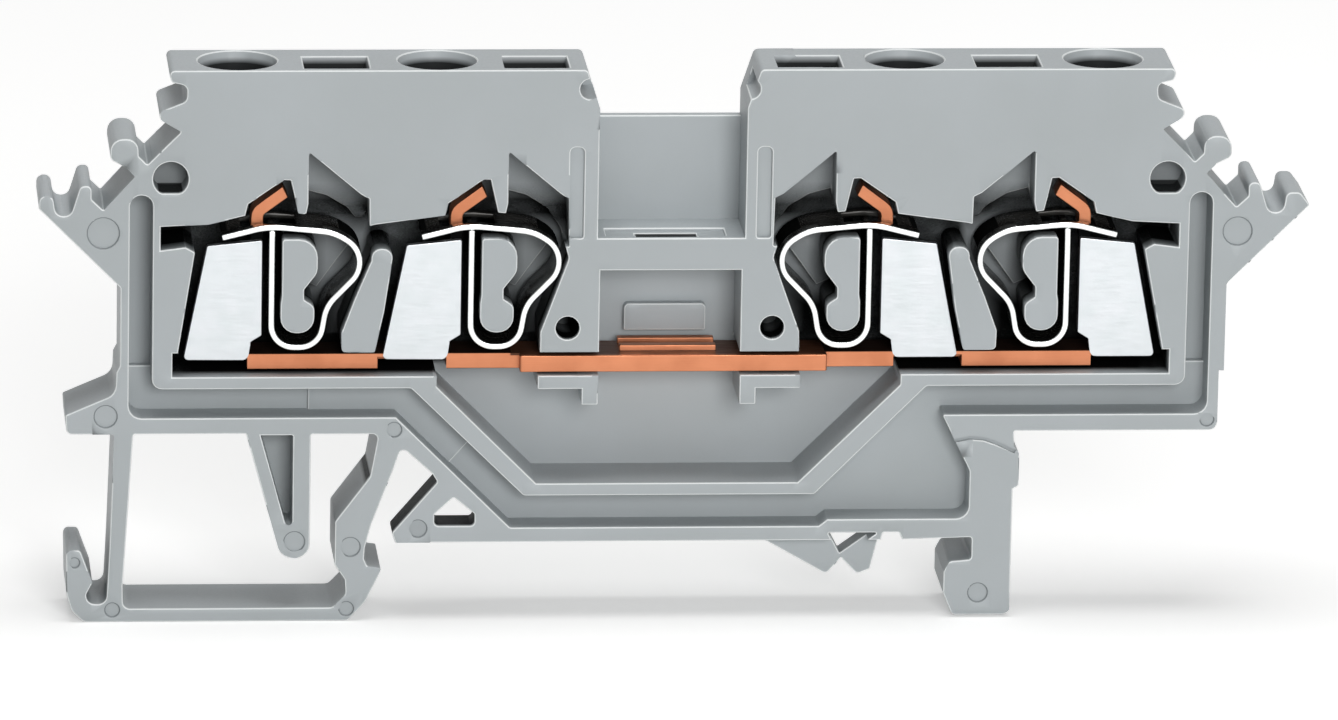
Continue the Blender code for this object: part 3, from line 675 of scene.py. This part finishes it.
# A line through corners (u, z, radius), each corner replaced by a circular arc that is
# tangent to both of its sides: centre + radius * (cos t, sin t) for t between the tangents
def roundedPath(corners, count=14, most=0.98):
    corners = np.array(corners)
    pieces = [corners[:1, :2]]
    for before, corner, after in zip(corners[:-2], corners[1:-1], corners[2:]):
        point, radius = corner[:2], corner[2]
        toBefore = before[:2] - point
        toAfter = after[:2] - point
        lengthBefore, lengthAfter = np.linalg.norm(toBefore), np.linalg.norm(toAfter)
        toBefore, toAfter = toBefore / lengthBefore, toAfter / lengthAfter
        half = math.acos(np.clip(toBefore @ toAfter, -1, 1)) / 2
        reach = min(radius / math.tan(half), most * lengthBefore, most * lengthAfter)
        radius = reach * math.tan(half)
        middle = toBefore + toAfter
        centre = point + middle / np.linalg.norm(middle) * radius / math.sin(half)
        start = point + toBefore * reach - centre
        stop = point + toAfter * reach - centre
        first = math.atan2(start[1], start[0])
        sweep = (math.atan2(stop[1], stop[0]) - first + math.pi) % (2 * math.pi) - math.pi
        turns = first + sweep * np.linspace(0, 1, count)
        pieces.append(centre + radius * np.stack([np.cos(turns), np.sin(turns)], 1))
    pieces.append(corners[-1:, :2])
    return np.concatenate(pieces)


# Cuts extra points into a path where its u passes the stated values, before it turns back
def withPointsAt(path, values):
    for value in values:
        steps = (path[:-1, 0] - value) * (path[1:, 0] - value)
        place = int(np.argmax(steps < 0))
        share = (value - path[place, 0]) / (path[place + 1, 0] - path[place, 0])
        point = path[place] + share * (path[place + 1] - path[place])
        path = np.insert(path, place + 1, point, axis=0)
    return path


# The strip's middle surface: a grid of path point by place across the width, thickened by
# half its thickness to both sides along the path's normal (-dz, du)
def stripSurface(side, distance, path, values, window):
    names = ("front", "windowFront", "windowBack", "back")
    depths = np.array([values[name] for name in names])
    tangent = np.gradient(path, axis=0)
    tangent /= np.linalg.norm(tangent, axis=1, keepdims=True)
    normal = np.stack([-tangent[:, 1], tangent[:, 0]], 1)
    half = values["thickness"] / 2
    sides = [path + normal * half, path - normal * half]
    leg = values["centre"] + side * distance
    rows, columns = len(path), len(depths)
    points = np.zeros((2, rows, columns, 3))
    for layer, line in enumerate(sides):
        points[layer, :, :, 0] = (leg - side * line[:, 0])[:, None]
        points[layer, :, :, 1] = depths[None, :]
        points[layer, :, :, 2] = line[:, 1][:, None]
    points = points.reshape(-1, 3) * mm
    cell = np.ones((rows - 1, columns - 1), bool)
    if window is not None:
        low, high = window
        middle = (path[:-1, 0] + path[1:, 0]) / 2
        inside = (middle > low) & (middle < high) & (np.arange(rows - 1) < rows // 2)
        cell[inside, 1] = False
    row, column = np.nonzero(cell)

    def index(layer, i, j):
        return layer * rows * columns + i * columns + j

    turns = (((0, 0), (0, 1), (1, 1), (1, 0)), ((0, 0), (1, 0), (1, 1), (0, 1)))
    sheets = [
        np.stack([index(layer, row + down, column + along) for down, along in turn], 1)
        for layer, turn in enumerate(turns)
    ]
    padded = np.pad(cell, 1)
    rims = (
        (0, 1, padded[1:, 1:-1] != padded[:-1, 1:-1]),
        (1, 0, padded[1:-1, 1:] != padded[1:-1, :-1]),
    )
    for down, along, rim in rims:
        i, j = np.nonzero(rim)
        ends = ((0, i, j), (0, i + down, j + along), (1, i + down, j + along), (1, i, j))
        sheets.append(np.stack([index(*end) for end in ends], 1))
    return points, np.concatenate(sheets)


# The strip is cut at a hidden seam: the loop with the arm bends, and the leg stays still
def makeSpring(number, side, distance, values, material):
    path = withPointsAt(roundedPath(values["path"]), values["windowEnds"])
    ahead = np.roll(path[:, 0], -1) <= values["seam"]
    crosses = (path[:, 1] < values["belowSeam"]) & ahead & (path[:, 0] > values["seam"])
    place = int(np.argmax(crosses))
    share = (values["seam"] - path[place, 0]) / (path[place + 1, 0] - path[place, 0])
    seam = path[place] + share * (path[place + 1] - path[place])
    parts = {
        "loop": (np.vstack([path[:place + 1], seam]), values["windowEnds"]),
        "leg": (np.vstack([seam, path[place + 1:]]), None),
    }
    leg = values["centre"] + side * distance
    seamX = (leg - side * values["seam"]) * mm
    near, low = values["seamWidth"] * mm, values["belowSeam"] * mm
    body = f"clamp_{number}"
    for part, (line, window) in parts.items():
        points, faces = stripSurface(side, distance, line, values, window)
        mesh = bpy.data.meshes.new("strip")
        mesh.from_pydata(points, [], faces.tolist())
        shape = bmesh.new()
        shape.from_mesh(mesh)
        bpy.data.meshes.remove(mesh)
        bmesh.ops.recalc_face_normals(shape, faces=shape.faces)

        def atSeam(edge):
            return all(abs(end.co.x - seamX) < near and end.co.z < low for end in edge.verts)

        shape = roundEdges(shape, values["edges"], atSeam)
        name = f"clampSpring{part.capitalize()}{number}"
        if part == "leg":
            piece = makePiece(name, shape, [material], "block")
        else:
            piece = makePiece(name, shape, [material])
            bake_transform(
                piece,
                "block",
                body,
                start=(leg * mm, 0.0, values["still"] * mm),
                end=(leg * mm, 0.0, values["moving"] * mm),
            )
            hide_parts(f"clamp_spring_{number}")


# One camera and two soft lamps over a pale floor, which glows a little to the eye and to
# reflections, so that it looks nearly white without strong lamps.
studio = {
    "azimuth": -5.0,
    "elevation": 15.5,
    "roll": 1.09,
    "lens": 337.0,
    "sensor": 36.0,
    "clip": (0.01, 10.0),
    "frameWidth": 77.26,
    "aim": (-0.3, -2.5, 10.92),
    "floorDrop": 0.02,
    "floorReach": 3000.0,
    "floor": "#f4f4f3",
    # strength of the glow at the block, then from and to which distance it changes to what
    "floorGlow": 0.36,
    "farGlow": (10.0, 100.0, 0.53),
    "mirrored": 1.36,
    "air": 0.06,
    # name, azimuth, elevation, distance, size, share of a plain level on what faces it
    "lamps": (
        ("front", 6.0, 17.0, 520.0, 220.0, 0.57),
        ("overhead", 10.0, 86.0, 420.0, 260.0, 0.54),
    ),
}


def directionTo(azimuth, elevation):
    a, e = math.radians(azimuth), math.radians(elevation)
    return Vector((math.sin(a) * math.cos(e), -math.cos(a) * math.cos(e), math.sin(e)))


def makeCamera(scene, aim, values):
    camera = bpy.data.objects.new("camera", bpy.data.cameras.new("camera"))
    camera.data.lens = values["lens"]
    camera.data.sensor_width = values["sensor"]
    toCamera = directionTo(values["azimuth"], values["elevation"])
    distance = values["lens"] / values["sensor"] * values["frameWidth"] * mm
    camera.location = aim + toCamera * distance
    camera.rotation_mode = "QUATERNION"
    roll = Quaternion((0.0, 0.0, 1.0), math.radians(values["roll"]))
    camera.rotation_quaternion = (-toCamera).to_track_quat("-Z", "Y") @ roll
    camera.data.clip_start, camera.data.clip_end = values["clip"]
    scene.collection.objects.link(camera)
    scene.camera = camera


def makeLamps(scene, aim, values):
    for name, azimuth, elevation, far, size, share in values["lamps"]:
        lamp = bpy.data.lights.new(name, "AREA")
        lamp.shape = "DISK"
        lamp.size = size * mm
        # power for a plain level: share * pi^2 * distance^2
        lamp.energy = share * math.pi ** 2 * (far * mm) ** 2
        holder = bpy.data.objects.new(name, lamp)
        toLamp = directionTo(azimuth, elevation)
        holder.location = aim + toLamp * far * mm
        holder.rotation_mode = "QUATERNION"
        holder.rotation_quaternion = toLamp.to_track_quat("Z", "Y")
        scene.collection.objects.link(holder)


# One for what the camera sees, and the given weight for what reflections show
def seenWeight(tree, mirrored):
    path = addNode(tree, "ShaderNodeLightPath").outputs
    other = mathNode(tree, "MAXIMUM", path["Is Glossy Ray"], path["Is Transmission Ray"])
    other = mathNode(tree, "MULTIPLY", other, mirrored)
    return mathNode(tree, "MAXIMUM", other, path["Is Camera Ray"])


def makeAir(scene, values):
    world = bpy.data.worlds.new("softBox")
    scene.world = world
    world.use_nodes = True
    tree = world.node_tree
    tree.nodes.clear()
    links = {0: seenWeight(tree, 1.0)}
    strength = addNode(tree, "ShaderNodeMapRange", {3: values["air"], 4: 1.0}, links)
    settings, links = {"Color": (1.0, 1.0, 1.0, 1.0)}, {"Strength": strength.outputs[0]}
    background = addNode(tree, "ShaderNodeBackground", settings, links)
    addNode(tree, "ShaderNodeOutputWorld", links={"Surface": background.outputs[0]})


# White paper: a matt surface, and a glow that changes with the distance from the block
def paperFloor(values):
    material, tree = newMaterial("paperFloor")
    seen = seenWeight(tree, values["mirrored"])
    place = addNode(tree, "ShaderNodeTexCoord").outputs["Object"]
    settings = {"operation": "LENGTH"}
    distance = addNode(tree, "ShaderNodeVectorMath", settings, {0: place}).outputs["Value"]
    near, far, most = values["farGlow"]
    settings = {
        "interpolation_type": "SMOOTHSTEP",
        1: near * mm,
        2: far * mm,
        3: values["floorGlow"],
        4: most,
    }
    rise = addNode(tree, "ShaderNodeMapRange", settings, {0: distance}).outputs[0]
    glow = mathNode(tree, "MULTIPLY", seen, rise)
    diffuse = addNode(tree, "ShaderNodeBsdfDiffuse", {"Color": toLinear(values["floor"])})
    light = addNode(tree, "ShaderNodeEmission", links={"Strength": glow})
    links = {0: diffuse.outputs[0], 1: light.outputs[0]}
    finishMaterial(tree, addNode(tree, "ShaderNodeAddShader", links=links))
    return material


def makeFloor(scene, values):
    low = cadBounds[0][2] - values["floorDrop"] * mm
    reach = values["floorReach"] * mm
    mesh = bpy.data.meshes.new("floor")
    sides = ((-1, -1), (1, -1), (1, 1), (-1, 1))
    corners = [(across * reach, along * reach, low) for across, along in sides]
    mesh.from_pydata(corners, [], [(0, 1, 2, 3)])
    mesh.materials.append(paperFloor(values))
    floor = bpy.data.objects.new("floor", mesh)
    scene.collection.objects.link(floor)


def makeStudio(values):
    scene = bpy.context.scene
    aim = Vector(values["aim"]) * mm
    makeCamera(scene, aim, values)
    makeLamps(scene, aim, values)
    makeAir(scene, values)
    makeFloor(scene, values)
    scene.view_settings.view_transform = "Standard"


print("materials")
housingMaterial = mouldedPolyamide(polyamide)
bareMaterial = rolledMetal("blankedCopper", copper["bright"], copper["tarnish"], copper)
tinnedMaterial = rolledMetal("hotTinnedCopper", tin["bright"], tin["bloom"], tin)
springMaterial = rolledMetal("rolledSpringSteel", spring["bright"], spring["bloom"], spring)

print("housing")
makeHousing(housing, housingMaterial)
print("current bar")
makeBar(bar, bareMaterial, tinnedMaterial)
print("springs")
for number, (side, distance) in enumerate(clamps["legs"], 1):
    makeSpring(number, side, distance, clamps, springMaterial)
print("studio")
makeStudio(studio)
